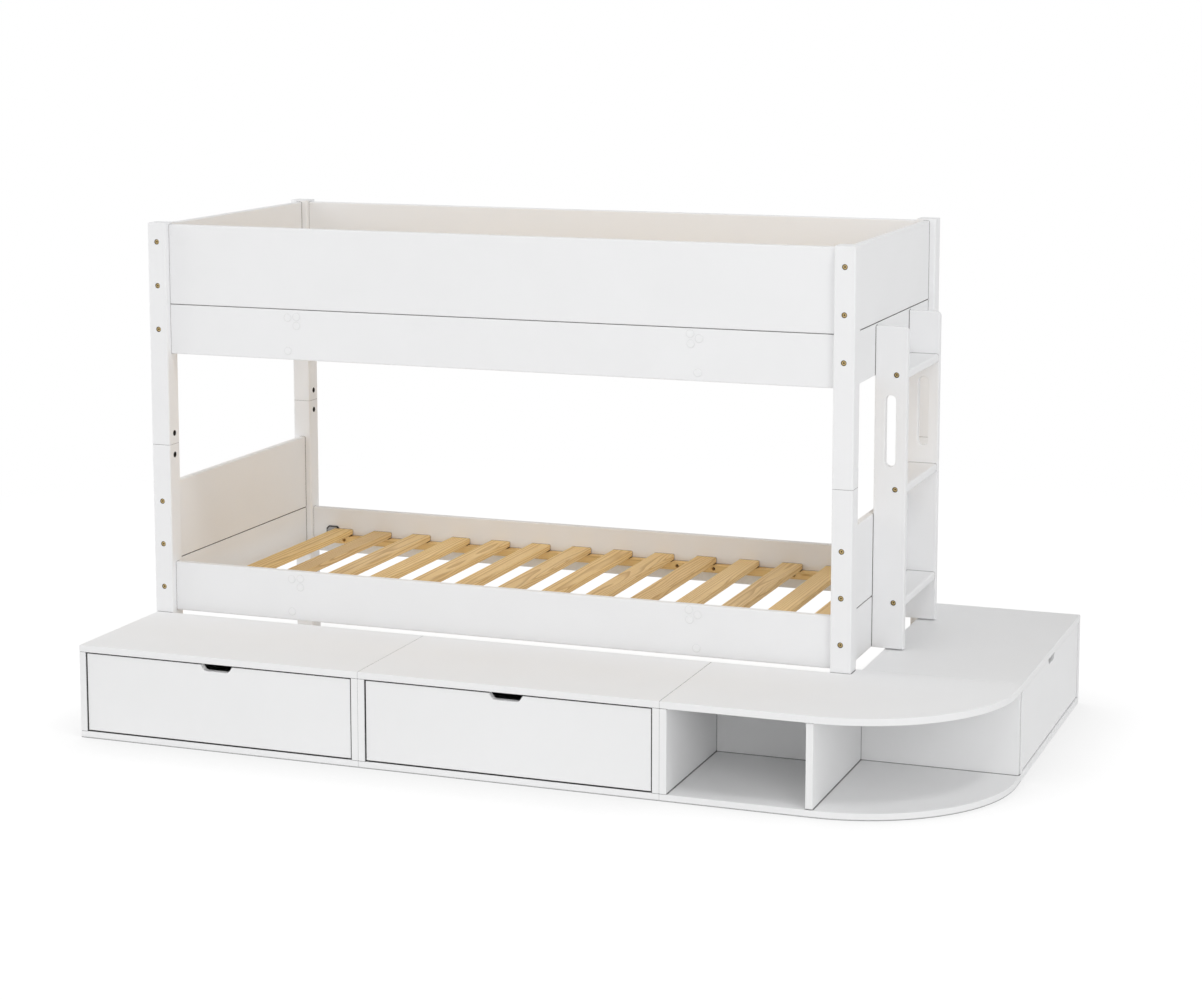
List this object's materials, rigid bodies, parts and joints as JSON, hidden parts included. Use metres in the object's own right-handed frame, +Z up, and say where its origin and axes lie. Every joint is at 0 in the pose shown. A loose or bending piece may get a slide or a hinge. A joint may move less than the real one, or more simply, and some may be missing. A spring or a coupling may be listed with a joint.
{
  "type": "bunk bed",
  "caption": "White timber bunk bed with slatted bunks and an end ladder, beside an L-shaped platform of drawer units with an open quarter-round corner.",
  "frame": {"origin": "on the floor, under the middle of the whole footprint", "axes": "+X along the bed towards the ladder end, +Y to the rear, -Y is the front with two drawers, +Z up"},
  "size_m": [2.417, 1.3224, 1.332],
  "materials": {
    "white_lacquer": "satin white lacquer on pine",
    "white_panel": "satin white board",
    "bare_pine": "planed bare pine",
    "dowel_beech": "bare beech"
  },
  "bodies": {
    "root": {"corner_bottom": "white_panel", "corner_divider": "white_panel", "corner_left_bay_back": "white_panel", "corner_right_bay_back": "white_panel", "corner_side": "white_panel", "corner_top": "white_panel", "drawer_unit_1_back": "white_panel", "drawer_unit_1_bottom": "white_panel", "drawer_unit_1_side_left": "white_panel", "drawer_unit_1_side_right": "white_panel", "drawer_unit_1_top": "white_panel", "drawer_unit_2_back": "white_panel", "drawer_unit_2_bottom": "white_panel", "drawer_unit_2_side_left": "white_panel", "drawer_unit_2_side_right": "white_panel", "drawer_unit_2_top": "white_panel", "drawer_unit_3_back": "white_panel", "drawer_unit_3_bottom": "white_panel", "drawer_unit_3_side_left": "white_panel", "drawer_unit_3_side_right": "white_panel", "drawer_unit_3_top": "white_panel", "ladder_step_1": "white_lacquer", "ladder_step_2": "white_lacquer", "ladder_step_3": "white_lacquer", "ladder_stile_front": "white_lacquer", "ladder_stile_rear": "white_lacquer", "lower_end_panel_left": "white_lacquer", "lower_end_panel_right": "white_lacquer", "lower_end_rail_left": "white_lacquer", "lower_end_rail_right": "white_lacquer", "lower_post_front_left": "white_lacquer", "lower_post_front_right": "white_lacquer", "lower_post_rear_left": "white_lacquer", "lower_post_rear_right": "white_lacquer", "lower_side_rail_front": "white_lacquer", "lower_side_rail_rear": "white_lacquer", "lower_slat_base": "bare_pine", "post_dowel_front_left": "dowel_beech", "post_dowel_front_right": "dowel_beech", "post_dowel_rear_left": "dowel_beech", "post_dowel_rear_right": "dowel_beech", "side_guard_front": "white_lacquer", "side_guard_rear": "white_lacquer", "upper_end_guard_left": "white_lacquer", "upper_end_guard_right": "white_lacquer", "upper_end_rail_left": "white_lacquer", "upper_end_rail_right": "white_lacquer", "upper_post_front_left": "white_lacquer", "upper_post_front_right": "white_lacquer", "upper_post_rear_left": "white_lacquer", "upper_post_rear_right": "white_lacquer", "upper_side_rail_front": "white_lacquer", "upper_side_rail_rear": "white_lacquer", "upper_slat_base": "bare_pine"},
    "drawer_1": {"drawer_1_box": "white_panel", "drawer_1_front": "white_panel"},
    "drawer_2": {"drawer_2_box": "white_panel", "drawer_2_front": "white_panel"},
    "drawer_3": {"drawer_3_box": "white_panel", "drawer_3_front": "white_panel"}
  },
  "joints": [
    {"name": "drawer_1_slide", "type": "slide", "parent": "root", "child": "drawer_1", "axis": [0, -1, 0], "range_m": [0, 0.3]},
    {"name": "drawer_2_slide", "type": "slide", "parent": "root", "child": "drawer_2", "axis": [0, -1, 0], "range_m": [0, 0.3]},
    {"name": "drawer_3_slide", "type": "slide", "parent": "root", "child": "drawer_3", "axis": [1, 0, 0], "range_m": [0, 0.3]}
  ]
}
